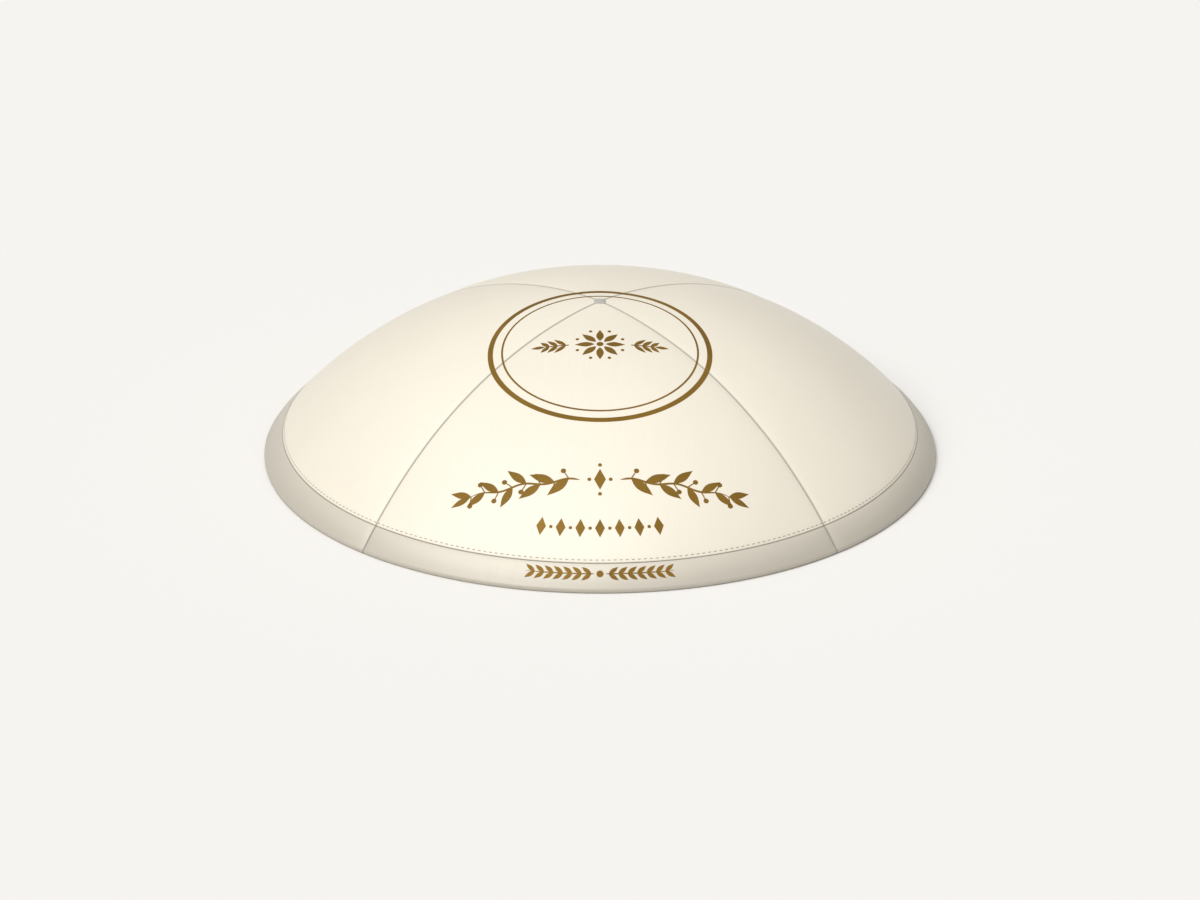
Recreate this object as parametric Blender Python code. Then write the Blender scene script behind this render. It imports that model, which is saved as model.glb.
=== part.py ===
"""A four-panel satin skullcap with a rim band, at rest on its rim.

Metres, +Z up. The origin is on the surface that the cap rests on, in the middle of the rim.
The front panel faces -Y. The seams between the panels lie at 45 degrees to X and Y.
"""

import math

import bmesh
import bpy
from mathutils import Matrix, Vector

# Driving dimensions
RIM_DIAMETER = 0.170  # across the rim at its widest
CAP_HEIGHT = 0.0433  # from the surface to the top of the cloth
BAND_WIDTH = 0.0077  # of the rim band, down the slope to the bottom of its fold
CROWN_WALL = 0.0016  # satin, interlining and backing together
BAND_WALL = 0.0020  # the band is folded over the crown's edge allowance
SEAM_GAP = 0.0003  # between two pieces that are sewn together
SEAM_ROUND = 0.0005  # cloth turning down into a seam
FOLD_PRESS = 0.0001  # how far the fold at the band's foot is pressed flat
TACK_SIDE = 0.003  # square tack that closes the four tips
TACK_PROUD = 0.0002  # of the crown's surface
TACK_ROUND = 0.0003

# How finely curved surfaces are divided
PANEL_STEPS = 18
BAND_STEPS = 20
BAND_ROWS = 4
FOLD_STEPS = 8
ROUND_STEPS = 2
BEVEL_FROM = math.radians(50)  # edges sharper than this are rounded

HALF_PANEL = math.radians(45)
SIDES = {"front": 0, "right": 90, "back": 180, "left": 270}  # degrees about +Z

# The outer surface of crown and band is one spherical cap. The band ends in a round fold,
# which is as thick as the band, and whose outside is the rim's widest circle.
fold_radius = BAND_WALL / 2
fold_reach = RIM_DIAMETER / 2 - fold_radius
fold_height = fold_radius - FOLD_PRESS
rise = CAP_HEIGHT - fold_radius - fold_height
dome_radius = (fold_reach**2 + rise**2) / (2 * rise) + fold_radius
dome_centre = CAP_HEIGHT - dome_radius
fold_angle = math.atan2(fold_reach, fold_height - dome_centre)
band_seam_angle = fold_angle + fold_radius / dome_radius - BAND_WIDTH / dome_radius
half_gap_angle = SEAM_GAP / 2 / dome_radius

MATERIALS = {
    # name: base colour, roughness, metallic, sheen weight
    "ivory_satin": ((0.86, 0.81, 0.71), 0.46, 0.0, 0.25),
    "band_satin": ((0.60, 0.56, 0.48), 0.52, 0.0, 0.2),
    "tack_thread": ((0.50, 0.47, 0.43), 0.6, 0.0, 0.1),
}


def clear_scene():
    for obj in list(bpy.data.objects):
        bpy.data.objects.remove(obj)


def material(name):
    colour, roughness, metallic, sheen = MATERIALS[name]
    made = bpy.data.materials.new(name)
    made.use_nodes = True
    shader = made.node_tree.nodes["Principled BSDF"]
    shader.inputs["Base Color"].default_value = (*colour, 1)
    shader.inputs["Roughness"].default_value = roughness
    shader.inputs["Metallic"].default_value = metallic
    shader.inputs["Sheen Weight"].default_value = sheen
    return made


def dome_point(angle, turn, depth=0.0):
    """A point at this angle from the top and this turn from -Y towards +X, and this deep in the cloth."""
    reach = dome_radius - depth
    across = reach * math.sin(angle)
    height = dome_centre + reach * math.cos(angle)
    return Vector((across * math.sin(turn), -across * math.cos(turn), height))


def panel_point(down, across):
    """Outer surface of the front panel: down from 0 at its tip to 1 at the band, across -down to down."""
    tip_radius = SEAM_GAP / 2 / math.sin(HALF_PANEL)
    tip_angle = math.asin(tip_radius / dome_radius)
    hem_angle = band_seam_angle - half_gap_angle
    angle = tip_angle + down * (hem_angle - tip_angle)
    if down == 0:
        return dome_point(tip_angle, 0)
    gap_turn = math.asin(SEAM_GAP / 2 / (dome_radius * math.sin(angle)))
    return dome_point(angle, (HALF_PANEL - gap_turn) * across / down)


def panel_mesh():
    """A curved triangle of cloth, with its tip cut square to leave room for the tack."""
    shape = bmesh.new()
    corners = [shape.verts.new(place) for place in ((0, 0, 0), (-1, -1, 0), (1, -1, 0))]
    shape.faces.new(corners)
    bmesh.ops.subdivide_edges(shape, edges=shape.edges[:], cuts=PANEL_STEPS - 1, use_grid_fill=True)
    for vert in shape.verts:
        vert.co = panel_point(-vert.co.y, vert.co.x)
    tip_cut = (0, -TACK_SIDE / 2 - SEAM_GAP, 0)
    bmesh.ops.bisect_plane(
        shape, geom=everything(shape), plane_co=tip_cut, plane_no=(0, 1, 0), clear_outer=True
    )
    return finished(shape, "panel")


def band_section():
    """Points down the band's outer face, round the fold and up its inner face, at a turn of 0."""
    top = band_seam_angle + half_gap_angle
    rows = [top + (fold_angle - top) * row / BAND_ROWS for row in range(BAND_ROWS + 1)]
    fold_turns = [math.pi * step / FOLD_STEPS for step in range(1, FOLD_STEPS)]
    outer = [dome_point(angle, 0) for angle in rows]
    inner = [dome_point(angle, 0, BAND_WALL) for angle in reversed(rows)]
    centre = dome_point(fold_angle, 0, fold_radius)
    spoke = outer[-1] - centre
    fold = [centre + Matrix.Rotation(turn, 3, "X") @ spoke for turn in fold_turns]
    return outer + fold + inner


def band_mesh():
    """A quarter of the rim band: its section, pressed flat on the floor, spun about the cap's axis."""
    shape = bmesh.new()
    ring = [shape.verts.new(place) for place in band_section()]
    shape.faces.new(ring)
    bmesh.ops.bevel(
        shape,
        geom=(ring[0], ring[-1]),
        offset=SEAM_ROUND,
        segments=ROUND_STEPS,
        profile=0.5,
        affect="VERTICES",
        material=-1,
    )
    bmesh.ops.bisect_plane(
        shape, geom=everything(shape), plane_co=(0, 0, 0), plane_no=(0, 0, 1), clear_inner=True
    )
    half_turn = HALF_PANEL - SEAM_GAP / RIM_DIAMETER
    to_one_side = Matrix.Rotation(-half_turn, 3, "Z")
    bmesh.ops.rotate(shape, verts=shape.verts[:], cent=(0, 0, 0), matrix=to_one_side)
    bmesh.ops.spin(
        shape, geom=everything(shape), cent=(0, 0, 0), axis=(0, 0, 1), angle=2 * half_turn, steps=BAND_STEPS
    )
    return finished(shape, "band")


def tack_mesh():
    """A square block of close stitches, as deep as the crown's wall."""
    shape = bmesh.new()
    bmesh.ops.create_cube(shape, size=1)
    depth = CROWN_WALL + TACK_PROUD
    bmesh.ops.scale(shape, verts=shape.verts[:], vec=(TACK_SIDE, TACK_SIDE, depth))
    bmesh.ops.translate(shape, verts=shape.verts[:], vec=(0, 0, CAP_HEIGHT + TACK_PROUD - depth / 2))
    return finished(shape, "tack")


def everything(shape):
    return shape.verts[:] + shape.edges[:] + shape.faces[:]


def finished(shape, name):
    bmesh.ops.recalc_face_normals(shape, faces=shape.faces[:])
    mesh = bpy.data.meshes.new(name)
    shape.to_mesh(mesh)
    shape.free()
    mesh.shade_smooth()
    return mesh


def piece(name, mesh, finish, turn=0):
    """An object for this mesh, turned about the cap's axis to the side where it is sewn."""
    obj = bpy.data.objects.new(name, mesh)
    bpy.context.scene.collection.objects.link(obj)
    obj.rotation_euler.z = math.radians(turn)
    if not mesh.materials:
        mesh.materials.append(finish)
    return obj


def thicken(obj, wall):
    solidify = obj.modifiers.new("wall", "SOLIDIFY")
    solidify.thickness = wall
    solidify.offset = -1
    solidify.use_even_offset = True


def round_edges(obj, size):
    bevel = obj.modifiers.new("round", "BEVEL")
    bevel.width = size
    bevel.segments = ROUND_STEPS
    bevel.limit_method = "ANGLE"
    bevel.angle_limit = BEVEL_FROM


def main():
    clear_scene()
    ivory, band, thread = (material(name) for name in MATERIALS)
    panel_cloth, band_cloth = panel_mesh(), band_mesh()
    for side, turn in SIDES.items():
        panel = piece(f"crown_panel_{side}", panel_cloth, ivory, turn)
        thicken(panel, CROWN_WALL)
        round_edges(panel, SEAM_ROUND)
        round_edges(piece(f"rim_band_{side}", band_cloth, band, turn), SEAM_ROUND)
    round_edges(piece("crown_tack", tack_mesh(), thread), TACK_ROUND)


main()
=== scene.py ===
"""The looks of a four-panel satin skullcap with a gold foil print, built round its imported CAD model."""

import math

import bmesh
import bpy
from bpy.props import FloatProperty, FloatVectorProperty, IntProperty, PointerProperty
from mathutils import Matrix, Vector, noise


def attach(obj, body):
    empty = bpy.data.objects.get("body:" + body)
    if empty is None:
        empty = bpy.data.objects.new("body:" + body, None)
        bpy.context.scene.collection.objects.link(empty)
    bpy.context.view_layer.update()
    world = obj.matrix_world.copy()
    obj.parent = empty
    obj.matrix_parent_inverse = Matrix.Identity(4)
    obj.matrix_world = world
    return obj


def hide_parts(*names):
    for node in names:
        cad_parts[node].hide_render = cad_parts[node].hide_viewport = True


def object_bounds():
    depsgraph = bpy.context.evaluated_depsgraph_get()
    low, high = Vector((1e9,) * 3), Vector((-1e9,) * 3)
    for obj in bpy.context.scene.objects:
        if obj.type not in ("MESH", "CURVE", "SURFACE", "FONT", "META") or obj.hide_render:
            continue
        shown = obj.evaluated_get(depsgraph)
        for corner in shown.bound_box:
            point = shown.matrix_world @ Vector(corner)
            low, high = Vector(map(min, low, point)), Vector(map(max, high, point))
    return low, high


bl_info = {
    "name": "Satin skullcap",
    "version": (1, 0, 0),
    "blender": (4, 5, 0),
    "location": "3D View > Sidebar > Skullcap",
    "description": "Builds the cloth, stitches and foil print of a four-panel satin skullcap",
    "category": "Object",
}

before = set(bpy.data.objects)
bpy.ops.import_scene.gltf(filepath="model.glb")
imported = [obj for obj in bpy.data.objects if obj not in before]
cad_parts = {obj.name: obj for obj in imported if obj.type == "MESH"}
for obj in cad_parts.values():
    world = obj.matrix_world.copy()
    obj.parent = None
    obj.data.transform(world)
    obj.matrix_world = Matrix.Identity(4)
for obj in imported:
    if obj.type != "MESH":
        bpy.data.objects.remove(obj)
cad_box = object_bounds()

SIDES = {"front": 0, "right": 90, "back": 180, "left": 270}  # degrees about +Z
HALF_PANEL = math.radians(45)
TACK_IN_CAD = 0.0002  # how far the CAD model's tack stands out of its cloth

# Where the photograph stands
PHOTO_WIDTH = 1200  # pixels
RIM_WIDTH_IN_PHOTO = 671.8  # pixels across the rim
MIDDLE_ABOVE_ORIGIN = 7.6  # pixels from the middle of the rim up to the middle of the photograph
LOOK_DOWN = math.radians(24)


# Sizes and colours that a user would change


def length(name, description, default):
    return FloatProperty(name=name, description=description, default=default, unit="LENGTH", precision=5)


def angle(name, description, degrees):
    return FloatProperty(name=name, description=description, default=math.radians(degrees), subtype="ANGLE")


def colour(name, description, default):
    return FloatVectorProperty(
        name=name, description=description, default=default, subtype="COLOR", size=3, min=0, max=1
    )


def strength(name, description, default):
    return FloatProperty(name=name, description=description, default=default, min=0)


class CapSizes(bpy.types.PropertyGroup):
    """Sizes of the cloth pieces and their stitches."""

    rim_diameter: length("Rim diameter", "Across the rim at its widest", cad_box[1][0] - cad_box[0][0])
    cap_height: length("Cap height", "From the surface to the top of the cloth", cad_box[1][2] - TACK_IN_CAD)
    band_width: length("Band width", "Of the rim band, down the slope", 0.0077)
    crown_wall: length("Crown wall", "Thickness of the crown's cloth", 0.0016)
    band_wall: length("Band wall", "Thickness of the folded band", 0.0020)
    fold_press: length("Fold press", "How far the foot of the band is pressed flat", 0.0001)
    seam_round: length("Seam rounding", "Radius at which cloth turns down into a seam", 0.00026)
    seam_dip: length("Seam dip", "How far the cloth sinks towards a seam", 0.0001)
    panel_swell: length("Panel swell", "How far a panel stands up between its seams", 0.00022)
    band_swell: length("Band swell", "How far the band is rolled out between its edges", 0.0003)
    soft_relief: length("Soft relief", "Height of the cloth's slow, uneven waves", 0.00012)
    pucker: length("Pucker", "Height of the small gathers above the topstitches", 0.00004)
    stitch_line: length("Topstitch distance", "From the band's seam up to the topstitches", 0.0008)
    stitch_length: length("Topstitch length", "Of one visible topstitch", 0.0008)
    thread_width: length("Thread width", "Of the topstitch thread", 0.0002)
    stitches: IntProperty(name="Topstitches", description="Along the hem of one panel", default=82, min=1)
    tack_side: length("Tack side", "Of the square tack on the crown", 0.0031)
    tack_proud: length("Tack height", "How far the tack stands out of the crown", 0.0001)


class PrintSizes(bpy.types.PropertyGroup):
    """Sizes and places of the foil print. An angle is counted from the top of the crown to the front."""

    foil: length("Foil thickness", "How far the foil stands out of the cloth", 0.00004)
    ring_angle: angle("Ring place", "Of the middle of the double ring", 11.7)
    ring_radius: length("Ring radius", "Outside of the wide ring, along the cloth", 0.02879)
    ring_width: length("Ring width", "Of the wide ring", 0.00135)
    thin_ring_radius: length("Thin ring radius", "Middle of the thin ring, along the cloth", 0.02505)
    thin_ring_width: length("Thin ring width", "Of the thin ring", 0.0005)
    branch_angle: angle("Branch place", "Of the middle of the pair of branches", 36.5)
    branch_reach: length("Branch reach", "From the middle to the tip of a branch", 0.0395)
    branch_sag: length("Branch sag", "How much lower the tips are than the middle", 0.0036)
    lozenge_angle: angle("Lozenge place", "Of the row of lozenges", 43.9)
    garland_angle: angle("Garland place", "Of the small garland on the band", 50.45)


class CapColours(bpy.types.PropertyGroup):
    """Base colours, in linear values."""

    crown: colour("Crown satin", "Ivory satin of the crown", (0.755, 0.703, 0.597))
    band: colour("Band satin", "Taupe satin of the rim band", (0.578, 0.538, 0.460))
    backing: colour("Backing", "Cotton on the inside of the crown", (0.66, 0.63, 0.56))
    stitch: colour("Topstitch thread", "Thread of the topstitches", (0.29, 0.27, 0.215))
    tack: colour("Tack thread", "Thread of the tack", (0.405, 0.388, 0.35))
    foil: colour("Gold foil", "Foil of the print", (0.192, 0.108, 0.016))
    floor: colour("Floor", "The plain floor", (0.735, 0.726, 0.709))


class StageSettings(bpy.types.PropertyGroup):
    """Light of the plain studio."""

    key: strength("Key light", "Strength of the soft key light", 2.66)
    key_spread: angle("Key spread", "Angle that the soft key light fills", 55)
    zenith: strength("Light from above", "Strength of the sky overhead", 0.72)
    horizon: strength("Light from the sides", "Strength of the sky low down", 0.235)


# The cap's geometry

SWELL_REACH = 0.005  # from a seam to where the cloth stands up most of the way
HEM_REACH = 0.0030  # the same from the hem
TACK_REACH = 0.014  # from the tack to where the panels swell
SEAM_DIP_REACH = 0.0011
HEM_DIP_REACH = 0.0006
STITCH_DIP_REACH = 0.0006
STITCH_PULL = 0.00002  # how far the topstitches pull the cloth in
LONG_WAVE = 0.028
SHORT_WAVE = 0.009
SHORT_WAVE_SHARE = 0.3  # of the height of the long waves
GATHER_WIDTH = 0.0035
GATHER_LENGTH = 0.012
GATHER_FADE = 0.004  # from the topstitches to where the gathers have mostly gone
GATHER_END = 0.02  # from the hem to where they are left out
GATHER_SLICE = 7  # any fixed plane through the noise


def groove(distance, reach):
    """Depth of a soft groove at this distance from its middle, as a share of its deepest."""
    return math.exp(-((distance / reach) ** 2))


class Dome:
    """The sphere that the crown and the band lie on."""

    def __init__(self, sizes):
        fold = sizes.band_wall / 2
        reach = sizes.rim_diameter / 2 - fold
        foot = fold - sizes.fold_press
        rise = sizes.cap_height - fold - foot
        self.radius = (reach**2 + rise**2) / (2 * rise) + fold
        self.centre = sizes.cap_height - self.radius
        self.fold_angle = math.atan2(reach, foot - self.centre)
        self.band_angle = self.fold_angle + (fold - sizes.band_width) / self.radius
        self.stitch_angle = self.band_angle - sizes.stitch_line / self.radius
        self.sizes = sizes

    def point(self, angle, turn, out=0.0):
        """The point at this angle from the top and this turn from -Y towards +X."""
        reach = self.radius + out
        across = reach * math.sin(angle)
        height = self.centre + reach * math.cos(angle)
        return Vector((across * math.sin(turn), -across * math.cos(turn), height))

    def outward(self, place):
        return (place - Vector((0, 0, self.centre))).normalized()

    def relief(self, place):
        """How far the cloth stands out of the sphere here."""
        sizes = self.sizes
        across = math.hypot(place.x, place.y)
        seams = [abs(place.x + side * place.y) / math.sqrt(2) for side in (-1, 1)]
        hem = (self.band_angle - math.atan2(across, place.z - self.centre)) * self.radius
        off_tack = 1 - groove(across, TACK_REACH)
        held = off_tack * math.prod(1 - math.exp(-seam / SWELL_REACH) for seam in seams)
        if hem > 0:
            swell = sizes.panel_swell * held * (1 - math.exp(-hem / HEM_REACH))
        else:
            swell = sizes.band_swell * held * math.sin(math.pi * min(1, -hem / sizes.band_width))
        settled = sizes.panel_swell * off_tack
        waves = noise.noise(place / LONG_WAVE) + SHORT_WAVE_SHARE * noise.noise(place / SHORT_WAVE)
        seam_groove = off_tack * groove(min(seams), SEAM_DIP_REACH)
        return (
            swell
            - settled
            + sizes.soft_relief * waves
            - sizes.seam_dip * (seam_groove + groove(hem, HEM_DIP_REACH))
            - STITCH_PULL * groove(hem - sizes.stitch_line, STITCH_DIP_REACH)
            + self.gathers(place, hem)
        )

    def gathers(self, place, hem):
        """Small gathers that run up from the topstitches and fade out."""
        if not 0 < hem < GATHER_END:
            return 0
        turn = math.atan2(place.x, -place.y)
        along = turn * self.radius * math.sin(self.stitch_angle)
        ripple = noise.noise(Vector((along / GATHER_WIDTH, hem / GATHER_LENGTH, GATHER_SLICE)))
        return self.sizes.pucker * ripple * math.exp(-abs(hem - self.sizes.stitch_line) / GATHER_FADE)

    def dressed(self, place, out=0.0):
        """The place moved onto the cloth's uneven surface, and this far out of it."""
        return place + self.outward(place) * (self.relief(place) + out)

    def wrap(self, middle, x, y, out):
        """A flat print laid round the crown: x to the right and y up from its middle.

        The middle lies on the front, at that angle from the top.
        """
        reach = math.hypot(x, y)
        centre = Vector((0, -math.sin(middle), math.cos(middle)))
        up = Vector((0, math.cos(middle), math.sin(middle)))
        heading = (Vector((1, 0, 0)) * x + up * y) / reach if reach else up
        away = reach / self.radius
        towards = centre * math.cos(away) + heading * math.sin(away)
        return self.dressed(Vector((0, 0, self.centre)) + towards * self.radius, out)

    def lay_in_row(self, middle, x, y, out):
        """A flat print laid level with the rim: x along the rim and y up from the middle's angle."""
        turn = x / (self.radius * math.sin(middle))
        return self.dressed(self.point(middle - y / self.radius, turn), out)


def everything(shape):
    return shape.verts[:] + shape.edges[:] + shape.faces[:]


def swivel(shape, angle):
    """Turns the shape about the cap's axis."""
    bmesh.ops.rotate(shape, verts=shape.verts[:], cent=(0, 0, 0), matrix=Matrix.Rotation(angle, 3, "Z"))


def mesh_object(name, shape, *materials):
    mesh = bpy.data.meshes.new(name)
    shape.to_mesh(mesh)
    shape.free()
    for material in materials:
        mesh.materials.append(material)
    obj = bpy.data.objects.new(name, mesh)
    bpy.context.scene.collection.objects.link(obj)
    return obj


def cap_piece(name, shape, *materials):
    """A smooth object of this bmesh, which rides on the cap."""
    piece = mesh_object(name, shape, *materials)
    piece.data.shade_smooth()
    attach(piece, "root")
    return piece


def map_cloth(shape, places):
    """Gives the faces a UV map in metres along the cloth, from {vertex: (u, v)}."""
    layer = shape.loops.layers.uv.new("cloth")
    for face in shape.faces:
        for loop in face.loops:
            loop[layer].uv = places[loop.vert]


# Crown panels

PANEL_ROWS = 192
HEM_ROWS = 12  # fine rows round the topstitches
HEM_EDGE = 0.0004  # from the hem to the first of them
HEM_STEP = 0.00016
TIP_CUT = 0.4  # from the top to where a panel's tip is cut off, as a share of the tack's side


def panel_row(dome, row):
    """The angle from the top of this row of the panel's mesh."""
    hem = dome.band_angle * dome.radius
    from_hem = PANEL_ROWS - row
    fine_from = hem - HEM_EDGE - HEM_ROWS * HEM_STEP
    if from_hem == 0:
        along = hem
    elif from_hem <= HEM_ROWS:
        along = hem - HEM_EDGE - (from_hem - 1) * HEM_STEP
    else:
        along = fine_from * row / (PANEL_ROWS - HEM_ROWS - 1)
    return along / dome.radius


def panel_shape(dome, turn_by):
    """The outer face of a panel: a triangle laid on the dome, with its tip cut off under the tack."""
    shape = bmesh.new()
    corners = [shape.verts.new(place) for place in ((0, 0, 0), (-1, -1, 0), (1, -1, 0))]
    shape.faces.new(corners)
    bmesh.ops.subdivide_edges(shape, edges=shape.edges[:], cuts=PANEL_ROWS - 1, use_grid_fill=True)
    cloth = {}
    for vert in shape.verts:
        row = round(-vert.co.y * PANEL_ROWS)
        share = vert.co.x / -vert.co.y if row else 0
        angle = panel_row(dome, row)
        turn = HALF_PANEL * share
        cloth[vert] = (dome.radius * math.sin(angle) * turn, dome.radius * angle)
        vert.co = dome.point(angle, turn)
    map_cloth(shape, cloth)
    tip = (0, -TIP_CUT * dome.sizes.tack_side, 0)
    bmesh.ops.bisect_plane(shape, geom=everything(shape), plane_co=tip, plane_no=(0, 1, 0), clear_outer=True)
    swivel(shape, turn_by)
    for vert in shape.verts:
        vert.co = dome.dressed(vert.co)
    bmesh.ops.recalc_face_normals(shape, faces=shape.faces[:])
    return shape


def face_outwards(shape, dome):
    """Turns an open sheet so that its faces point away from the head."""
    face = max(shape.faces, key=lambda found: found.calc_area())
    if face.normal.dot(dome.outward(face.calc_center_median())) < 0:
        bmesh.ops.reverse_faces(shape, faces=shape.faces[:])


class SKULLCAP_OT_crown_panels(bpy.types.Operator):
    """Lay the four satin panels of the crown"""

    bl_idname = "skullcap.crown_panels"
    bl_label = "Crown panels"

    def execute(self, context):
        sizes = context.scene.skullcap_sizes
        dome = Dome(sizes)
        satin = crown_satin(context.scene.skullcap_colours, dome)
        backing = cotton_backing(context.scene.skullcap_colours)
        for side, degrees in SIDES.items():
            shape = panel_shape(dome, math.radians(degrees))
            face_outwards(shape, dome)
            panel = cap_piece(f"satin_panel_{side}", shape, satin, backing)
            wall = panel.modifiers.new("wall", "SOLIDIFY")
            wall.thickness = sizes.crown_wall
            wall.offset = -1
            wall.use_even_offset = True
            wall.material_offset = 1
            rounding = panel.modifiers.new("turned edges", "BEVEL")
            rounding.width = sizes.seam_round
            rounding.segments = 4
            rounding.limit_method = "ANGLE"
            rounding.angle_limit = math.radians(50)
            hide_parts(f"crown_panel_{side}")
        return {"FINISHED"}


# Rim band

BAND_STEPS = 144
BAND_ROWS = 16
FOLD_STEPS = 18


def round_off(shape, geom, radius, segments, affect):
    bmesh.ops.bevel(
        shape, geom=geom, offset=radius, segments=segments, profile=0.5, affect=affect, material=-1
    )


def band_section(dome):
    """Points down the band's outer face, round the fold and up its inner face, at a turn of 0."""
    wall = dome.sizes.band_wall
    span = dome.fold_angle - dome.band_angle
    rows = [dome.band_angle + span * row / BAND_ROWS for row in range(BAND_ROWS + 1)]
    outer = [dome.point(angle, 0) for angle in rows]
    inner = [dome.point(angle, 0, -wall) for angle in reversed(rows)]
    centre = dome.point(dome.fold_angle, 0, -wall / 2)
    spoke = outer[-1] - centre
    turns = [math.pi * step / FOLD_STEPS for step in range(1, FOLD_STEPS)]
    return outer + [centre + Matrix.Rotation(turn, 3, "X") @ spoke for turn in turns] + inner


def band_shape(dome, turn_by):
    """A quarter of the band: its section spun about the cap's axis, with its ends turned in."""
    shape = bmesh.new()
    ring = [shape.verts.new(place) for place in band_section(dome)]
    shape.faces.new(ring)
    round_off(shape, (ring[0], ring[-1]), dome.sizes.seam_round, 5, "VERTICES")
    bmesh.ops.bisect_plane(
        shape, geom=everything(shape), plane_co=(0, 0, 0), plane_no=(0, 0, 1), clear_inner=True
    )
    swivel(shape, -HALF_PANEL)
    bmesh.ops.spin(
        shape, geom=everything(shape), cent=(0, 0, 0), axis=(0, 0, 1), angle=2 * HALF_PANEL, steps=BAND_STEPS
    )
    bmesh.ops.recalc_face_normals(shape, faces=shape.faces[:])
    ends = [face for face in shape.faces if len(face.verts) > 4]
    edges = [edge for face in ends for edge in face.edges]
    round_off(shape, edges, dome.sizes.seam_round, 4, "EDGES")
    cloth = {}
    for vert in shape.verts:
        turn = math.atan2(vert.co.x, -vert.co.y)
        reach = math.hypot(vert.co.x, vert.co.y)
        angle = math.atan2(reach, vert.co.z - dome.centre)
        cloth[vert] = (dome.radius * math.sin(dome.fold_angle) * turn, dome.radius * angle)
    map_cloth(shape, cloth)
    swivel(shape, turn_by)
    for vert in shape.verts:
        lifted = min(1, vert.co.z / dome.sizes.band_wall)
        vert.co += dome.outward(vert.co) * dome.relief(vert.co) * lifted
    return shape


class SKULLCAP_OT_rim_band(bpy.types.Operator):
    """Fold the four segments of the rim band"""

    bl_idname = "skullcap.rim_band"
    bl_label = "Rim band"

    def execute(self, context):
        dome = Dome(context.scene.skullcap_sizes)
        satin = band_satin(context.scene.skullcap_colours, dome)
        for side, degrees in SIDES.items():
            band = cap_piece(f"satin_band_{side}", band_shape(dome, math.radians(degrees)), satin)
            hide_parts(f"rim_band_{side}")
        return {"FINISHED"}


# Stitches

STITCH_HEIGHT = 0.5  # as a share of the thread's width, because a topstitch lies flat
STITCH_LIFT = 0.1  # of its middle above the cloth, as a share of the thread's width


def add_stitch(shape, place, along, out, size):
    """A stitch of this (reach, width, height) with round ends, which lies along the cloth at this place."""
    reach, width, height = size
    made = bmesh.ops.create_uvsphere(shape, u_segments=8, v_segments=6, radius=0.5)["verts"]
    bmesh.ops.scale(shape, verts=made, vec=(width, height, width))
    for end in (-1, 1):
        half = [vert for vert in made if vert.co.z * end > width * 0.1]
        bmesh.ops.translate(shape, verts=half, vec=(0, 0, end * (reach - width) / 2))
    across = out.cross(along).normalized()
    turn = Matrix((across, out, along.normalized())).transposed().to_4x4()
    turn.translation = place
    bmesh.ops.transform(shape, matrix=turn, verts=made)


class SKULLCAP_OT_topstitches(bpy.types.Operator):
    """Sew the row of topstitches above the band"""

    bl_idname = "skullcap.topstitches"
    bl_label = "Topstitches"

    def execute(self, context):
        sizes = context.scene.skullcap_sizes
        dome = Dome(sizes)
        thread = sewing_thread("topstitch thread", context.scene.skullcap_colours.stitch)
        size = (sizes.stitch_length, sizes.thread_width, sizes.thread_width * STITCH_HEIGHT)
        for side, degrees in SIDES.items():
            shape = bmesh.new()
            for index in range(sizes.stitches):
                share = (index + 0.5) / sizes.stitches
                turn = math.radians(degrees) + HALF_PANEL * (2 * share - 1)
                place = dome.dressed(dome.point(dome.stitch_angle, turn), sizes.thread_width * STITCH_LIFT)
                along = Vector((math.cos(turn), math.sin(turn), 0))
                add_stitch(shape, place, along, dome.outward(place), size)
            row = cap_piece(f"topstitches_{side}", shape, thread)
        return {"FINISHED"}


TACK_WRAPS = 12
TACK_TAPER = 0.15  # how much shorter the first and last wraps are than the middle ones, as a share
WRAP_WIDTH = 1.35  # as a share of the step between wraps, so that they overlap
WRAP_HEIGHT = 1.1
CORE_WIDTH = 0.84  # as a share of the tack's side
CORE_DEPTH = 0.94


class SKULLCAP_OT_tack(bpy.types.Operator):
    """Wrap the square tack that closes the four tips"""

    bl_idname = "skullcap.tack"
    bl_label = "Crown tack"

    def execute(self, context):
        sizes = context.scene.skullcap_sizes
        dome = Dome(sizes)
        thread = sewing_thread("tack thread", context.scene.skullcap_colours.tack)
        shape = bmesh.new()
        step = sizes.tack_side / TACK_WRAPS
        top = dome.point(0, 0, sizes.tack_proud - step / 2)
        for index in range(TACK_WRAPS):
            from_middle = (index + 0.5 - TACK_WRAPS / 2) * step
            reach = sizes.tack_side * (1 - TACK_TAPER * (2 * from_middle / sizes.tack_side) ** 2)
            place = top + Vector((0, from_middle, 0))
            size = (reach, step * WRAP_WIDTH, step * WRAP_HEIGHT)
            add_stitch(shape, place, Vector((1, 0, 0)), Vector((0, 0, 1)), size)
        core = bmesh.ops.create_cube(shape, size=1)["verts"]
        core_size = (sizes.tack_side * CORE_WIDTH, sizes.tack_side * CORE_DEPTH, sizes.crown_wall)
        bmesh.ops.scale(shape, verts=core, vec=core_size)
        bmesh.ops.translate(shape, verts=core, vec=top - Vector((0, 0, sizes.crown_wall / 2)))
        tack = cap_piece("thread_tack", shape, thread)
        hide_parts("crown_tack")
        return {"FINISHED"}


# Foil print

RING_STRIPS = 4  # side by side in the width of a ring
WIDE_RING_STEPS = 540
THIN_RING_STEPS = 480


def leaf_width(share):
    """Of a leaf with pointed ends, from its stalk at 0 to its tip at 1, as a share of its widest."""
    return math.sin(math.pi * share**0.85) ** 1.15 if 0 < share < 1 else 0


def dot_width(share):
    return math.sqrt(max(0, 1 - (2 * share - 1) ** 2))


def lozenge_width(share):
    return 1 - abs(2 * share - 1)


def stem_width(share):
    """Of a stem that thins towards both ends."""
    return min(1, 0.3 + 14 * share, 0.15 + 3 * (1 - share))


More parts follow.
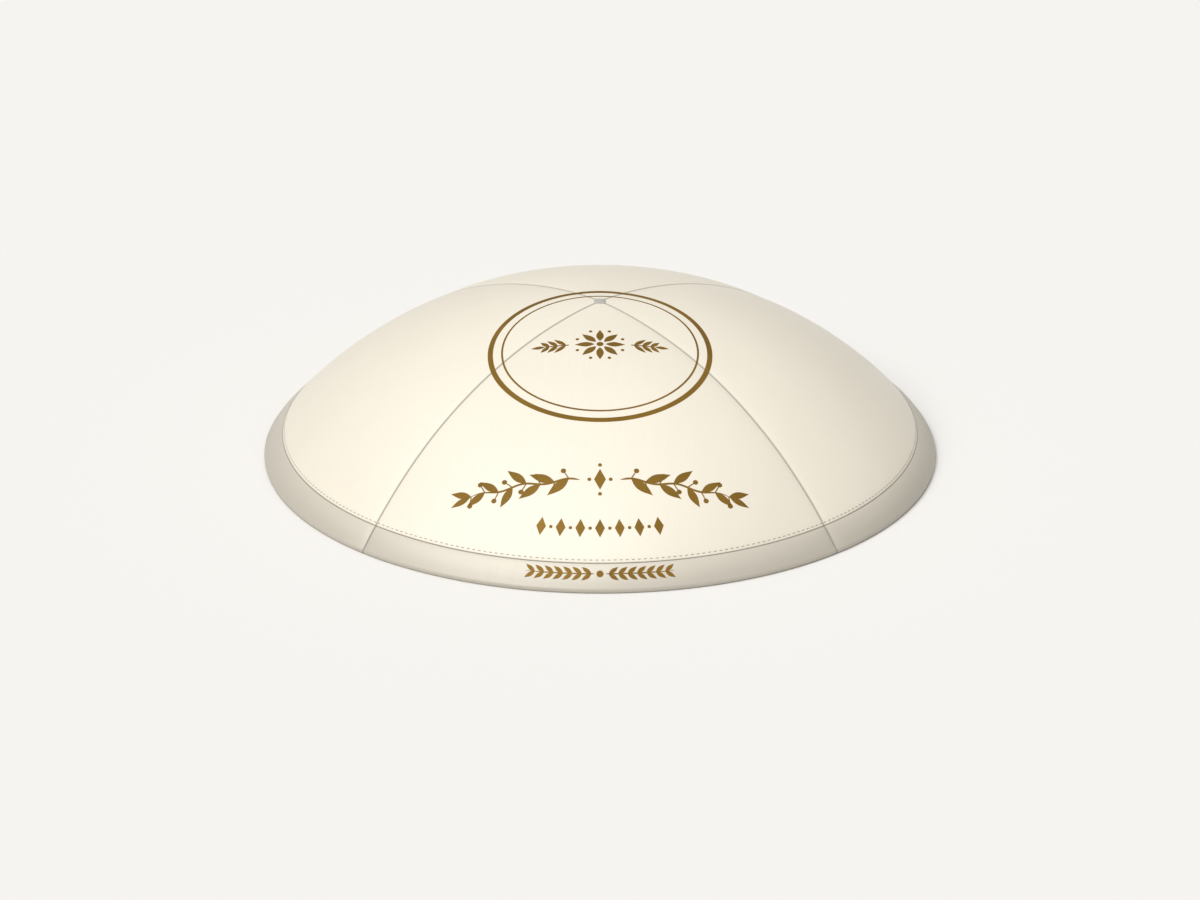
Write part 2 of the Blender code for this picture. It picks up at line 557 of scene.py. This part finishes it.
class Print:
    """Foil laid on the cap by one of the dome's ways of laying a flat print."""

    def __init__(self, lay, middle, lift):
        self.shape = bmesh.new()
        self.lay = lay
        self.middle = middle
        self.lift = lift

    def strip(self, path, width, profile, steps=16, across=4):
        """A strip along a path of shares from 0 to 1, as wide as the profile says."""
        made = bmesh.ops.create_grid(self.shape, x_segments=steps, y_segments=across, size=0.5)["verts"]
        for vert in made:
            share = (1 - math.cos(math.pi * (vert.co.x + 0.5))) / 2
            side = vert.co.y * width * profile(share)
            here = path(share)
            ahead = path(min(1, share + 0.01)) - path(max(0, share - 0.01))
            normal = Vector((-ahead.y, ahead.x)).normalized()
            vert.co = (here + normal * side).to_3d()
        bmesh.ops.remove_doubles(self.shape, verts=made, dist=1e-6)

    def line(self, start, end, width, profile, steps=16):
        start, end = Vector(start), Vector(end)
        self.strip(lambda share: start.lerp(end, share), width, profile, steps)

    def leaf(self, start, heading, reach, width):
        towards = Vector((math.cos(heading), math.sin(heading)))
        self.line(start, Vector(start) + towards * reach, width, leaf_width)

    def leaf_pair(self, x, side, lean, reach, width):
        """A leaf above and a leaf below a level stem, this far out to that side."""
        for up in (-1, 1):
            heading = math.atan2(up * math.sin(lean), side * math.cos(lean))
            self.leaf((side * x, 0), heading, reach, width)

    def dot(self, place, radius):
        across = Vector((radius, 0))
        self.line(Vector(place) - across, Vector(place) + across, 2 * radius, dot_width, 12)

    def lozenge(self, place, half_width, half_height):
        up = Vector((0, half_height))
        self.line(Vector(place) - up, Vector(place) + up, 2 * half_width, lozenge_width, 12)

    def ring(self, radius, width, steps):
        """A ring of foil round the print's middle, whose outside has this radius."""
        places = [Vector((radius - width * step / RING_STRIPS, 0, 0)) for step in range(RING_STRIPS + 1)]
        verts = [self.shape.verts.new(place) for place in places]
        edges = [self.shape.edges.new(pair) for pair in zip(verts, verts[1:])]
        bmesh.ops.spin(
            self.shape,
            geom=verts + edges,
            cent=(0, 0, 0),
            axis=(0, 0, 1),
            angle=2 * math.pi,
            steps=steps,
            use_merge=True,
        )

    def pressed(self, name, dome, foil):
        """The finished foil, laid on the cloth and given its thickness."""
        for vert in self.shape.verts:
            vert.co = self.lay(self.middle, vert.co.x, vert.co.y, self.lift)
        bmesh.ops.recalc_face_normals(self.shape, faces=self.shape.faces[:])
        for face in self.shape.faces:
            if face.normal.dot(dome.outward(face.calc_center_median())) < 0:
                face.normal_flip()
        bmesh.ops.solidify(self.shape, geom=self.shape.faces[:], thickness=2 * self.lift)
        obj = cap_piece(name, self.shape, foil)
        obj.data.set_sharp_from_angle(angle=math.radians(40))
        return obj


class SKULLCAP_OT_print_rings(bpy.types.Operator):
    """Press the double ring of foil"""

    bl_idname = "skullcap.print_rings"
    bl_label = "Foil rings"

    def execute(self, context):
        dome = Dome(context.scene.skullcap_sizes)
        sizes = context.scene.skullcap_print
        foil = gold_foil(context.scene.skullcap_colours)
        wide = Print(dome.wrap, sizes.ring_angle, sizes.foil)
        wide.ring(sizes.ring_radius, sizes.ring_width, WIDE_RING_STEPS)
        wide.pressed("foil_ring_wide", dome, foil)
        thin = Print(dome.wrap, sizes.ring_angle, sizes.foil)
        outside = sizes.thin_ring_radius + sizes.thin_ring_width / 2
        thin.ring(outside, sizes.thin_ring_width, THIN_RING_STEPS)
        thin.pressed("foil_ring_thin", dome, foil)
        return {"FINISHED"}


# The rosette, measured from its middle
PETALS = 8
PETAL_START = 0.0014
PETAL_LENGTH = 0.0050
PETAL_WIDTH = 0.0019
EYE_RADIUS = 0.0009
BEAD_PLACE = 0.0062
BEAD_RADIUS = 0.00045

# The sprig on each side of it
SPRIG_START = 0.0078
SPRIG_END = 0.0142
SPRIG_STEM = 0.0004
SPRIG_PAIRS = 3
SPRIG_FIRST_PAIR = 0.0086
SPRIG_PITCH = 0.0021
SPRIG_LEAN = 0.75  # radians between a leaf and the stem
SPRIG_LEAF = 0.0042
SPRIG_SHRINK = 0.0005  # how much shorter each pair of leaves is than the one before
SPRIG_LEAF_WIDTH = 0.0012
SPRIG_TIP_START = 0.0140
SPRIG_TIP_LEAF = 0.0036


class SKULLCAP_OT_print_rosette(bpy.types.Operator):
    """Press the rosette and its two sprigs inside the rings"""

    bl_idname = "skullcap.print_rosette"
    bl_label = "Foil rosette"

    def execute(self, context):
        dome = Dome(context.scene.skullcap_sizes)
        sizes = context.scene.skullcap_print
        rosette = Print(dome.wrap, sizes.ring_angle, sizes.foil)
        rosette.dot((0, 0), EYE_RADIUS)
        for petal in range(PETALS):
            heading = math.tau * petal / PETALS
            towards = Vector((math.cos(heading), math.sin(heading)))
            rosette.leaf(towards * PETAL_START, heading, PETAL_LENGTH, PETAL_WIDTH)
            between = Matrix.Rotation(math.pi / PETALS, 2) @ towards
            rosette.dot(between * BEAD_PLACE, BEAD_RADIUS)
        for side in (-1, 1):
            self.sprig(rosette, side)
        rosette.pressed("foil_rosette", dome, gold_foil(context.scene.skullcap_colours))
        return {"FINISHED"}

    def sprig(self, rosette, side):
        """A short stem with pairs of leaves and one leaf at its tip."""
        rosette.line((side * SPRIG_START, 0), (side * SPRIG_END, 0), SPRIG_STEM, stem_width)
        for pair in range(SPRIG_PAIRS):
            x = SPRIG_FIRST_PAIR + SPRIG_PITCH * pair
            rosette.leaf_pair(x, side, SPRIG_LEAN, SPRIG_LEAF - SPRIG_SHRINK * pair, SPRIG_LEAF_WIDTH)
        tip = 0 if side > 0 else math.pi
        rosette.leaf((side * SPRIG_TIP_START, 0), tip, SPRIG_TIP_LEAF, SPRIG_LEAF_WIDTH)


# The pair of branches, measured from the middle between them
BRANCH_START = 0.0052
BRANCH_TIP = 0.0055  # room for the leaf beyond the end of the stem
BRANCH_STEM = 0.00055
BRANCH_WAVE = 0.0005
BRANCH_WAVES = 2.5  # along the stem
BRANCH_NODES = 8
LEAF_LEAN = 0.68  # radians between a leaf and the stem
LEAF_LENGTH = 0.0074
LEAF_SHRINK = 0.0018  # how much shorter a leaf is at the tip
LEAF_WIDTH = 0.0025
LEAF_THINNING = 0.0006  # how much narrower it is there
BERRY_LEAN = 1.05
BERRY_STALK = 0.0027
BERRY_STALK_WIDTH = 0.0003
BERRY_RADIUS = 0.00068
TIP_LEAF_LENGTH = 0.0056
TIP_LEAF_WIDTH = 0.0017

# The lozenge between them, with a bead on each side, above and below
MIDDLE_HALF_WIDTH = 0.0015
MIDDLE_HALF_HEIGHT = 0.0030
MIDDLE_BEAD_ASIDE = 0.0027
MIDDLE_BEAD_ABOVE = 0.0042
MIDDLE_BEAD_RADIUS = 0.0005


class SKULLCAP_OT_print_branches(bpy.types.Operator):
    """Press the pair of olive branches below the rings"""

    bl_idname = "skullcap.print_branches"
    bl_label = "Foil branches"

    def execute(self, context):
        dome = Dome(context.scene.skullcap_sizes)
        sizes = context.scene.skullcap_print
        branches = Print(dome.wrap, sizes.branch_angle, sizes.foil)
        for side in (-1, 1):
            self.branch(branches, sizes, side)
        branches.lozenge((0, 0), MIDDLE_HALF_WIDTH, MIDDLE_HALF_HEIGHT)
        for side in (-1, 1):
            branches.dot((side * MIDDLE_BEAD_ASIDE, 0), MIDDLE_BEAD_RADIUS)
            branches.dot((0, side * MIDDLE_BEAD_ABOVE), MIDDLE_BEAD_RADIUS)
        branches.pressed("foil_branches", dome, gold_foil(context.scene.skullcap_colours))
        return {"FINISHED"}

    def branch(self, branches, sizes, side):
        """A waving stem from the middle to its tip, with a leaf at each node and a berry opposite."""

        def stem(share):
            x = BRANCH_START + (sizes.branch_reach - BRANCH_TIP - BRANCH_START) * share
            drop = sizes.branch_sag * (x / sizes.branch_reach) ** 2
            return Vector((side * x, BRANCH_WAVE * math.sin(BRANCH_WAVES * math.tau * share) - drop))

        branches.strip(stem, BRANCH_STEM, stem_width, steps=60, across=2)
        for node in range(BRANCH_NODES):
            share = (node + 0.75) / BRANCH_NODES
            here = stem(share)
            ahead = (stem(min(1, share + 0.02)) - stem(share - 0.02)).normalized()
            up = 1 if node % 2 else -1
            heading = math.atan2(ahead.y, ahead.x)
            lean = LEAF_LEAN * up * side
            reach = LEAF_LENGTH - LEAF_SHRINK * share
            branches.leaf(here, heading + lean, reach, LEAF_WIDTH - LEAF_THINNING * share)
            berry = here + Matrix.Rotation(-BERRY_LEAN * up * side, 2) @ ahead * BERRY_STALK
            branches.line(here, berry, BERRY_STALK_WIDTH, stem_width, 6)
            branches.dot(berry, BERRY_RADIUS)
        tip = stem(1)
        ahead = tip - stem(0.98)
        branches.leaf(tip - ahead, math.atan2(ahead.y, ahead.x), TIP_LEAF_LENGTH, TIP_LEAF_WIDTH)


# The row of lozenges
LOZENGES = 7
LOZENGE_PITCH = 0.0050
LOZENGE_HALF_WIDTH = 0.00125
LOZENGE_HALF_HEIGHT = 0.0025

# The garland on the band, measured from its middle
GARLAND_BEAD = 0.0009
GARLAND_START = 0.0015
GARLAND_END = 0.0190
GARLAND_STEM = 0.00032
GARLAND_PAIRS = 7
GARLAND_FIRST_PAIR = 0.0022
GARLAND_PITCH = 0.0024
GARLAND_LEAN = 0.62  # radians between a leaf and the stem
GARLAND_LEAF_LENGTH = 0.0031
GARLAND_LEAF_WIDTH = 0.0011


class SKULLCAP_OT_print_borders(bpy.types.Operator):
    """Press the row of lozenges and the small garland on the band"""

    bl_idname = "skullcap.print_borders"
    bl_label = "Foil borders"

    def execute(self, context):
        dome = Dome(context.scene.skullcap_sizes)
        sizes = context.scene.skullcap_print
        foil = gold_foil(context.scene.skullcap_colours)
        lozenges = Print(dome.lay_in_row, sizes.lozenge_angle, sizes.foil)
        for index in range(LOZENGES):
            x = (index - (LOZENGES - 1) / 2) * LOZENGE_PITCH
            lozenges.lozenge((x, 0), LOZENGE_HALF_WIDTH, LOZENGE_HALF_HEIGHT)
            if index:
                lozenges.dot((x - LOZENGE_PITCH / 2, 0), BEAD_RADIUS)
        lozenges.pressed("foil_lozenges", dome, foil)
        garland = Print(dome.lay_in_row, sizes.garland_angle, sizes.foil)
        garland.dot((0, 0), GARLAND_BEAD)
        for side in (-1, 1):
            garland.line((side * GARLAND_START, 0), (side * GARLAND_END, 0), GARLAND_STEM, stem_width, 24)
            for pair in range(GARLAND_PAIRS):
                x = GARLAND_FIRST_PAIR + GARLAND_PITCH * pair
                garland.leaf_pair(x, side, GARLAND_LEAN, GARLAND_LEAF_LENGTH, GARLAND_LEAF_WIDTH)
        garland.pressed("foil_garland", dome, foil)
        return {"FINISHED"}


# Materials

MIX_SHARE, MIX_FIRST, MIX_SECOND = 0, 6, 7  # a mix node's inputs when it mixes colours
MIX_RESULT = 2  # and its output
SATIN_THREAD = 0.00028  # width of a thread
SATIN_FLOAT = 0.0014  # along a thread, from one dip to the next
SATIN_RISE = 0.00004
COTTON_THREAD = 0.0004
COTTON_FLOAT = 0.0008
COTTON_RISE = 0.00008
# Painted shade, as shares of the satin's colour: darker down in the seams, where it also stands for their
# thread, in the hem's groove and towards the band's foot
SHADE_REACH = 0.0005  # from a seam to where its shade ends
HEM_SHARE = 0.65  # of that reach at the hem
FOLD_SPAN = math.radians(4.2)  # from the hem down to where the fold's shade is full
FOLD_PAINTED_SHADE = 0.86  # of the satin's colour
HEM_PAINTED_SHADE = 0.74
# Painted shade in the dips between the threads of a weave
GAP_PAINTED_SHADE = 0.78  # between two threads
FULL_REACH = 0.016  # from a seam to where a panel looks full
FULL_RISE = 0.001


class Nodes:
    """Short ways of adding and joining the nodes of one tree."""

    def __init__(self, tree):
        self.tree = tree

    def add(self, kind, **settings):
        node = self.tree.nodes.new(kind)
        for name, value in settings.items():
            setattr(node, name, value)
        return node

    def feed(self, socket, value):
        if isinstance(value, bpy.types.NodeSocket):
            self.tree.links.new(value, socket)
        else:
            socket.default_value = value

    def maths(self, operation, *values):
        node = self.add("ShaderNodeMath", operation=operation)
        for socket, value in zip(node.inputs, values):
            self.feed(socket, value)
        return node.outputs[0]

    def range(self, value, low, high, to_low, to_high, smooth=False):
        kind = "SMOOTHSTEP" if smooth else "LINEAR"
        node = self.add("ShaderNodeMapRange", interpolation_type=kind)
        for name, number in zip(("From Min", "From Max", "To Min", "To Max"), (low, high, to_low, to_high)):
            self.feed(node.inputs[name], number)
        self.feed(node.inputs["Value"], value)
        return node.outputs["Result"]

    def mix(self, share, first, second):
        node = self.add("ShaderNodeMix", data_type="RGBA", blend_type="MIX")
        self.feed(node.inputs[MIX_SHARE], share)
        self.feed(node.inputs[MIX_FIRST], first)
        self.feed(node.inputs[MIX_SECOND], second)
        return node.outputs[MIX_RESULT]

    def vectors(self, operation, *values):
        """The outputs Vector and Value of a calculation with vectors."""
        node = self.add("ShaderNodeVectorMath", operation=operation)
        for socket, value in zip(node.inputs, values):
            self.feed(socket, value)
        return node.outputs

    def parts(self, vector):
        """The outputs X, Y and Z of a vector."""
        node = self.add("ShaderNodeSeparateXYZ")
        self.feed(node.inputs[0], vector)
        return node.outputs

    def noise(self, vector, scale, detail=2.0):
        node = self.add("ShaderNodeTexNoise")
        self.feed(node.inputs["Vector"], vector)
        self.feed(node.inputs["Scale"], scale)
        self.feed(node.inputs["Detail"], detail)
        return node.outputs["Fac"]

    def bump(self, height, strength, distance, onto=None):
        node = self.add("ShaderNodeBump")
        self.feed(node.inputs["Height"], height)
        self.feed(node.inputs["Strength"], strength)
        self.feed(node.inputs["Distance"], distance)
        if onto:
            self.feed(node.inputs["Normal"], onto)
        return node.outputs["Normal"]

    def group(self, tree, **values):
        """Places a node group. An input's spaces are written as underscores."""
        node = self.add("ShaderNodeGroup", node_tree=tree)
        for name, value in values.items():
            self.feed(node.inputs[name.replace("_", " ")], value)
        return node


def node_group(name, inputs, outputs):
    """An empty node group with these {name: socket type}, and its Nodes, input node and output node."""
    tree = bpy.data.node_groups.new(name, "ShaderNodeTree")
    for label, kind in inputs.items():
        tree.interface.new_socket(label, in_out="INPUT", socket_type=kind)
    for label, kind in outputs.items():
        tree.interface.new_socket(label, in_out="OUTPUT", socket_type=kind)
    nodes = Nodes(tree)
    return tree, nodes, nodes.add("NodeGroupInput").outputs, nodes.add("NodeGroupOutput").inputs


def weave_group():
    """Satin weave: long raised threads side by side, each one dipping under a cross thread now and then."""
    name = "Satin weave"
    if name in bpy.data.node_groups:
        return bpy.data.node_groups[name]
    inputs = {"Cloth": "NodeSocketVector", "Thread": "NodeSocketFloat", "Float": "NodeSocketFloat"}
    outputs = {"Height": "NodeSocketFloat", "Streak": "NodeSocketFloat"}
    tree, nodes, given, put = node_group(name, inputs, outputs)
    parts = nodes.parts(given["Cloth"])
    u = nodes.maths("DIVIDE", parts["X"], given["Thread"])
    column = nodes.maths("FLOOR", u)
    across = nodes.maths("SUBTRACT", nodes.maths("FRACT", u), 0.5)
    fall = nodes.maths("MULTIPLY", nodes.maths("POWER", across, 2.0), 4.0)
    round_thread = nodes.maths("SUBTRACT", 1.0, fall)
    v = nodes.maths("DIVIDE", parts["Y"], given["Float"])
    staggered = nodes.maths("ADD", v, nodes.maths("MULTIPLY", column, 0.4))
    along = nodes.maths("ABSOLUTE", nodes.maths("SUBTRACT", nodes.maths("FRACT", staggered), 0.5))
    dip = nodes.range(along, 0.36, 0.5, 1.0, 0.0, smooth=True)
    nodes.feed(put["Height"], nodes.maths("MULTIPLY", round_thread, dip))
    stretched = nodes.vectors("MULTIPLY", given["Cloth"], (1.0, 0.03, 1.0))["Vector"]
    nodes.feed(put["Streak"], nodes.noise(stretched, 2600.0, 3.0))
    return tree


def seam_group():
    """Where on the cap a point lies. Place is the point as seen from the middle of the cap's sphere.

    Seam and Hem are 1 where two pieces meet and 0 out on the cloth; they mask painted shade in those grooves,
    which at the seams also stands for their thread. Fold rises to 1 at the band's foot and masks painted
    shade there.
    Fullness is 0 at the seams and rises to 1 in the middle of a panel, which the backing holds up.
    """
    name = "Seam shade"
    if name in bpy.data.node_groups:
        return bpy.data.node_groups[name]
    inputs = {"Place": "NodeSocketVector", "Hem Slope": "NodeSocketFloat", "Reach": "NodeSocketFloat"}
    outputs = {label: "NodeSocketFloat" for label in ("Seam", "Hem", "Fold", "Fullness")}
    tree, nodes, given, put = node_group(name, inputs, outputs)
    x, y, z = nodes.parts(given["Place"])
    seams = []
    full = []
    for side in ("ADD", "SUBTRACT"):
        apart = nodes.maths("ABSOLUTE", nodes.maths(side, x, y))
        seams.append(nodes.maths("MULTIPLY", apart, math.sqrt(0.5)))
        fall = nodes.maths("EXPONENT", nodes.maths("DIVIDE", seams[-1], -FULL_REACH))
        full.append(nodes.maths("SUBTRACT", 1.0, fall))
    from_seam = nodes.maths("MINIMUM", *seams)
    nodes.feed(put["Fullness"], nodes.maths("MULTIPLY", *full))
    flat = nodes.vectors("MULTIPLY", given["Place"], (1.0, 1.0, 0.0))["Vector"]
    slope = nodes.maths("ARCTAN2", nodes.vectors("LENGTH", flat)["Value"], z)
    below_hem = nodes.maths("SUBTRACT", slope, given["Hem Slope"])
    reach = nodes.vectors("LENGTH", given["Place"])["Value"]
    from_hem = nodes.maths("MULTIPLY", nodes.maths("ABSOLUTE", below_hem), reach)
    for label, distance, wide in (("Seam", from_seam, 1.0), ("Hem", from_hem, HEM_SHARE)):
        near = nodes.maths("DIVIDE", distance, given["Reach"])
        nodes.feed(put[label], nodes.range(near, 0.3 * wide, wide, 1.0, 0.0, smooth=True))
    nodes.feed(put["Fold"], nodes.range(below_hem, 0.0, FOLD_SPAN, 0.0, 1.0, smooth=True))
    return tree


def principled(name, roughness, **settings):
    """A new material's (material, Nodes, shader), with the shader's uniform values set on its sockets."""
    material = bpy.data.materials.new(name)
    material.use_nodes = True
    shader = material.node_tree.nodes["Principled BSDF"]
    shader.inputs["Roughness"].default_value = roughness
    for label, value in settings.items():
        shader.inputs[label.replace("_", " ")].default_value = value
    return material, Nodes(material.node_tree), shader


def shade(rgb, factor):
    return (*(min(1, channel * factor) for channel in rgb), 1)


def woven_satin(name, rgb, dome, seam_thread_and_painted_shade, roughness, **settings):
    """Satin with its own thread and slight streaks. Its colour holds painted shade: darker and greyer down in
    the seams, where it also stands for their thread, in the hem's groove, towards the band's foot and in the
    dips between threads.
    """
    if name in bpy.data.materials:
        return bpy.data.materials[name]
    material, nodes, shader = principled(name, roughness, **settings)
    cloth = nodes.add("ShaderNodeUVMap", uv_map="cloth").outputs["UV"]
    place = nodes.add("ShaderNodeTexCoord").outputs["Object"]
    weave = nodes.group(weave_group(), Cloth=cloth, Thread=SATIN_THREAD, Float=SATIN_FLOAT)
    slow = nodes.maths("MULTIPLY", nodes.noise(place, 22.0, 2.0), 0.6)
    fine = nodes.maths("MULTIPLY", weave.outputs["Streak"], 0.4)
    tone = nodes.range(nodes.maths("ADD", slow, fine), 0.3, 0.7, 0.0, 1.0)
    even = nodes.mix(tone, shade(rgb, 0.965), shade(rgb, 1.03))
    # Painted shade: the satin is darker in the dips between its threads
    painted_gap_shade = nodes.range(weave.outputs["Height"], 0.0, 0.6, 0.16, 0.0)
    threads = nodes.mix(painted_gap_shade, even, shade(rgb, GAP_PAINTED_SHADE))
    seen = nodes.vectors("SUBTRACT", place, (0, 0, dome.centre))["Vector"]
    seam = nodes.group(seam_group(), Place=seen, Hem_Slope=dome.band_angle, Reach=SHADE_REACH)
    # Painted shade towards the band's foot, in the hem's groove and in the seams, where it also stands for
    # their thread
    folded = nodes.mix(seam.outputs["Fold"], threads, shade(rgb, FOLD_PAINTED_SHADE))
    hem_shaded = nodes.mix(seam.outputs["Hem"], folded, shade(rgb, HEM_PAINTED_SHADE))
    nodes.feed(shader.inputs["Base Color"], nodes.mix(seam.outputs["Seam"], hem_shaded, shade(rgb, seam_thread_and_painted_shade)))
    rough = nodes.range(weave.outputs["Streak"], 0.25, 0.75, roughness - 0.05, roughness + 0.07)
    nodes.feed(shader.inputs["Roughness"], rough)
    full = nodes.bump(seam.outputs["Fullness"], 1.0, FULL_RISE)
    nodes.feed(shader.inputs["Normal"], nodes.bump(weave.outputs["Height"], 0.3, SATIN_RISE, onto=full))
    return material


def crown_satin(colours, dome):
    return woven_satin("ivory satin", colours.crown, dome, 0.58, 0.42, Sheen_Weight=0.1, Sheen_Roughness=0.35)


def band_satin(colours, dome):
    return woven_satin("taupe satin", colours.band, dome, 0.64, 0.48, Metallic=0.18)


def cotton_backing(colours):
    """Plain cotton with a short weave."""
    name = "cotton backing"
    if name in bpy.data.materials:
        return bpy.data.materials[name]
    material, nodes, shader = principled(name, 0.85)
    cloth = nodes.add("ShaderNodeUVMap", uv_map="cloth").outputs["UV"]
    weave = nodes.group(weave_group(), Cloth=cloth, Thread=COTTON_THREAD, Float=COTTON_FLOAT)
    height = weave.outputs["Height"]
    rgb = colours.backing
    tone = nodes.range(weave.outputs["Streak"], 0.3, 0.7, 0.0, 1.0)
    toned = nodes.mix(tone, shade(rgb, 0.93), shade(rgb, 1.04))
    # Painted shade: the cotton is darker in the dips between its threads
    painted_gap_shade = nodes.range(height, 0, 0.6, 0.3, 0)
    nodes.feed(shader.inputs["Base Color"], nodes.mix(painted_gap_shade, toned, shade(rgb, 0.7)))
    nodes.feed(shader.inputs["Normal"], nodes.bump(height, 0.5, COTTON_RISE))
    return material


def sewing_thread(name, rgb):
    """Matt thread with the slant of its twisted plies."""
    if name in bpy.data.materials:
        return bpy.data.materials[name]
    material, nodes, shader = principled(name, 0.62, Sheen_Weight=0.2)
    place = nodes.add("ShaderNodeTexCoord").outputs["Object"]
    plies = nodes.add("ShaderNodeTexWave", bands_direction="DIAGONAL")
    nodes.feed(plies.inputs["Vector"], place)
    nodes.feed(plies.inputs["Scale"], 1400.0)
    nodes.feed(plies.inputs["Distortion"], 1.5)
    fuzz = nodes.noise(place, 5000.0, 2.0)
    height = nodes.maths("ADD", plies.outputs["Fac"], nodes.maths("MULTIPLY", fuzz, 0.4))
    # Painted shade: lighter on the twisted plies and darker down between them; the fuzz adds random tone
    toned = nodes.mix(nodes.range(height, 0.2, 1.2, 0.0, 1.0), shade(rgb, 0.85), shade(rgb, 1.1))
    nodes.feed(shader.inputs["Base Color"], toned)
    nodes.feed(shader.inputs["Normal"], nodes.bump(height, 0.5, 0.00005))
    return material


def gold_foil(colours):
    """Thin foil pressed into satin: a soft metal with fine grain and slow changes of tone."""
    name = "gold foil"
    if name in bpy.data.materials:
        return bpy.data.materials[name]
    rgb = colours.foil
    material, nodes, shader = principled(name, 0.5, Metallic=0.25, Specular_IOR_Level=0.12)
    place = nodes.add("ShaderNodeTexCoord").outputs["Object"]
    slow = nodes.noise(place, 60.0, 2.0)
    grain = nodes.noise(place, 3200.0, 2.0)
    toned = nodes.mix(nodes.range(slow, 0.35, 0.65, 0.0, 1.0), shade(rgb, 0.88), shade(rgb, 1.16))
    specks = nodes.range(grain, 0.3, 0.5, 0.25, 0.0)
    nodes.feed(shader.inputs["Base Color"], nodes.mix(specks, toned, shade(rgb, 0.6)))
    nodes.feed(shader.inputs["Roughness"], nodes.range(grain, 0.3, 0.7, 0.58, 0.42))
    nodes.feed(shader.inputs["Normal"], nodes.bump(grain, 0.3, 0.00003))
    return material


def floor_paper(colours):
    """Smooth matt paper with a faint grain."""
    material, nodes, shader = principled("floor paper", 0.9, Specular_IOR_Level=0.1)
    place = nodes.add("ShaderNodeTexCoord").outputs["Object"]
    rgb = colours.floor
    toned = nodes.mix(nodes.noise(place, 900.0, 2.0), shade(rgb, 0.997), shade(rgb, 1.003))
    nodes.feed(shader.inputs["Base Color"], toned)
    return material


# Stage

FLOOR_RADIUS = 4.0
CAMERA_DISTANCE = 1.5
KEY_FROM = Vector((-0.33, -0.45, 0.83))


class SKULLCAP_OT_stage(bpy.types.Operator):
    """Set up the floor, the soft light and the camera"""

    bl_idname = "skullcap.stage"
    bl_label = "Stage"

    def execute(self, context):
        scene = context.scene
        self.floor(scene)
        self.light(scene)
        self.camera(scene)
        scene.view_settings.view_transform = "Standard"
        return {"FINISHED"}

    def floor(self, scene):
        shape = bmesh.new()
        bmesh.ops.create_circle(shape, cap_ends=True, segments=64, radius=FLOOR_RADIUS)
        floor = mesh_object("floor", shape, floor_paper(scene.skullcap_colours))

    def light(self, scene):
        settings = scene.skullcap_stage
        lamp = bpy.data.lights.new("key", "SUN")
        lamp.energy = settings.key
        lamp.angle = settings.key_spread
        lamp.color = (1.0, 0.99, 0.975)
        key = bpy.data.objects.new("key", lamp)
        key.rotation_euler = (-KEY_FROM).to_track_quat("-Z", "Y").to_euler()
        scene.collection.objects.link(key)
        world = bpy.data.worlds.new("studio")
        world.use_nodes = True
        nodes = Nodes(world.node_tree)
        sky = world.node_tree.nodes["Background"]
        sky.inputs["Color"].default_value = (1.0, 0.995, 0.985, 1)
        height = nodes.parts(nodes.add("ShaderNodeTexCoord").outputs["Generated"])["Z"]
        glow = nodes.range(height, 0.0, 1.0, settings.horizon, settings.zenith)
        nodes.feed(sky.inputs["Strength"], glow)
        scene.world = world

    def camera(self, scene):
        pixel = scene.skullcap_sizes.rim_diameter / RIM_WIDTH_IN_PHOTO
        lens = bpy.data.cameras.new("camera")
        lens.type = "ORTHO"
        lens.ortho_scale = PHOTO_WIDTH * pixel
        lens.clip_start = 0.05
        lens.clip_end = 20
        camera = bpy.data.objects.new("camera", lens)
        up = Vector((0, math.sin(LOOK_DOWN), math.cos(LOOK_DOWN)))
        back = Vector((0, -math.cos(LOOK_DOWN), math.sin(LOOK_DOWN)))
        camera.location = up * MIDDLE_ABOVE_ORIGIN * pixel + back * CAMERA_DISTANCE
        camera.rotation_euler = (math.pi / 2 - LOOK_DOWN, 0, 0)
        scene.collection.objects.link(camera)
        scene.camera = camera


class SKULLCAP_PT_builder(bpy.types.Panel):
    bl_label = "Satin skullcap"
    bl_space_type = "VIEW_3D"
    bl_region_type = "UI"
    bl_category = "Skullcap"

    def draw(self, context):
        scene = context.scene
        groups = (scene.skullcap_sizes, scene.skullcap_print, scene.skullcap_colours, scene.skullcap_stage)
        for group in groups:
            box = self.layout.box()
            for name in group.__annotations__:
                box.prop(group, name)
        for operator in OPERATORS:
            self.layout.operator(operator.bl_idname)


GROUPS = {
    "skullcap_sizes": CapSizes,
    "skullcap_print": PrintSizes,
    "skullcap_colours": CapColours,
    "skullcap_stage": StageSettings,
}
OPERATORS = (
    SKULLCAP_OT_crown_panels,
    SKULLCAP_OT_rim_band,
    SKULLCAP_OT_topstitches,
    SKULLCAP_OT_tack,
    SKULLCAP_OT_print_rings,
    SKULLCAP_OT_print_rosette,
    SKULLCAP_OT_print_branches,
    SKULLCAP_OT_print_borders,
    SKULLCAP_OT_stage,
)


def register():
    for group in (*GROUPS.values(), *OPERATORS, SKULLCAP_PT_builder):
        bpy.utils.register_class(group)
    for name, group in GROUPS.items():
        setattr(bpy.types.Scene, name, PointerProperty(type=group))


def unregister():
    for name in GROUPS:
        delattr(bpy.types.Scene, name)
    for group in (SKULLCAP_PT_builder, *OPERATORS, *GROUPS.values()):
        bpy.utils.unregister_class(group)


def main():
    register()
    bpy.ops.skullcap.crown_panels()
    bpy.ops.skullcap.rim_band()
    bpy.ops.skullcap.topstitches()
    bpy.ops.skullcap.tack()
    bpy.ops.skullcap.print_rings()
    bpy.ops.skullcap.print_rosette()
    bpy.ops.skullcap.print_branches()
    bpy.ops.skullcap.print_borders()
    bpy.ops.skullcap.stage()


if __name__ == "__main__":
    main()
